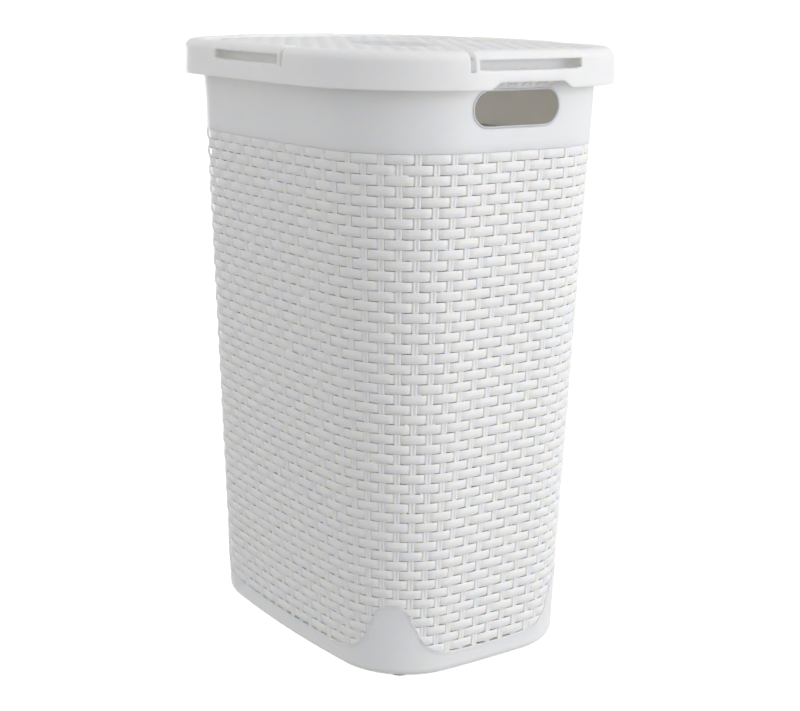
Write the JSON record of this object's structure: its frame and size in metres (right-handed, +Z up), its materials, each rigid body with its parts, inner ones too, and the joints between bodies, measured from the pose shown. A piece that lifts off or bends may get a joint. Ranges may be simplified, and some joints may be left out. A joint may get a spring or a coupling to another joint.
{
  "type": "laundry hamper with lid",
  "caption": "Tall tapered plastic laundry hamper with woven-look walls, oval handle holes in the short sides and a skirted lid hinged at the back.",
  "frame": {"origin": "on the floor, under the middle of the hamper", "axes": "+Z up; X along the long side; Y along the short side, with the front at -Y and the lid's hinge at +Y; the handle holes are in the +X and -X sides"},
  "size_m": [0.448, 0.349, 0.61],
  "materials": {
    "tub_plastic": "satin white moulded plastic",
    "lid_plastic": "satin white moulded plastic",
    "pin_steel": "plain drawn wire",
    "foot_rubber": "matt"
  },
  "bodies": {
    "hamper": {"tub": "tub_plastic", "hinge_bracket_left": "tub_plastic", "hinge_bracket_right": "tub_plastic", "foot_front_left": "foot_rubber", "foot_front_right": "foot_rubber", "foot_back_left": "foot_rubber", "foot_back_right": "foot_rubber"},
    "cover": {"lid": "lid_plastic", "badge": "lid_plastic", "hinge_pin_left": "pin_steel", "hinge_pin_right": "pin_steel"}
  },
  "joints": [
    {"name": "lid_hinge", "type": "hinge", "parent": "hamper", "child": "cover", "pos_m": [0, 0.164, 0.584], "axis": [-1, 0, 0], "range_deg": [0, 95]}
  ]
}
